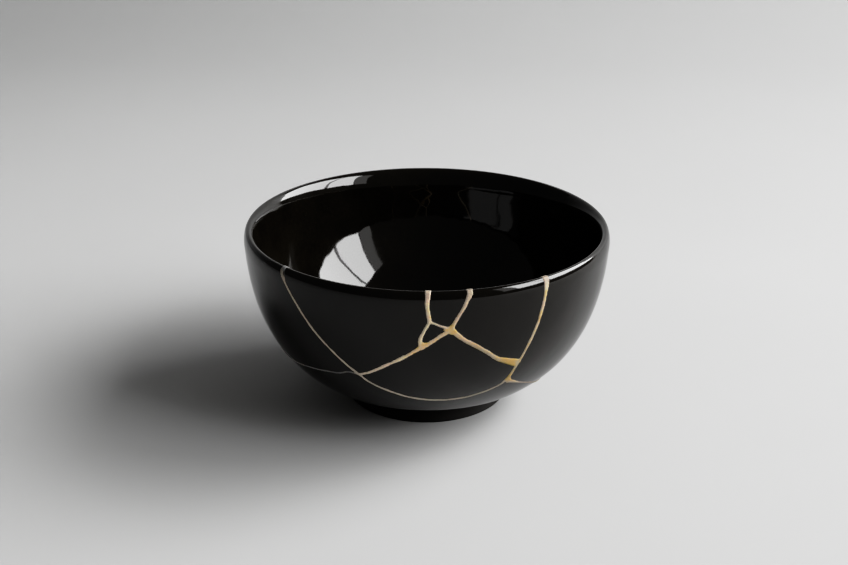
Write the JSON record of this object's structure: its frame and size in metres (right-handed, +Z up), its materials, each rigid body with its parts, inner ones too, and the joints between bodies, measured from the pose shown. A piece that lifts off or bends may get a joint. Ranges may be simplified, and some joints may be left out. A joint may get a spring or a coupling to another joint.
{
  "type": "kintsugi bowl",
  "caption": "Round footed bowl in glossy black glaze, broken and mended along its cracks with raised gold lacquer; stands on a foot ring and is open at the top.",
  "frame": {"origin": "on the ground under the middle of the foot ring", "axes": "+Z up out of the bowl's mouth; -Y towards the front, where the gold seams branch; +X to the right of someone who faces that front"},
  "size_m": [0.15, 0.1503, 0.0758],
  "materials": {
    "black_glaze": "glossy black glaze over stoneware, bare clay on the foot ring's underside",
    "gold_lacquer": "satin gold powder on lacquer, slightly raised"
  },
  "bodies": {
    "root": {"base_shard": "black_glaze", "back_wall_shard": "black_glaze", "left_front_shard": "black_glaze", "rim_chip_shard": "black_glaze", "small_triangle_shard": "black_glaze", "right_front_shard": "black_glaze", "lower_front_shard": "black_glaze", "gold_lacquer_seams": "gold_lacquer"}
  },
  "joints": []
}
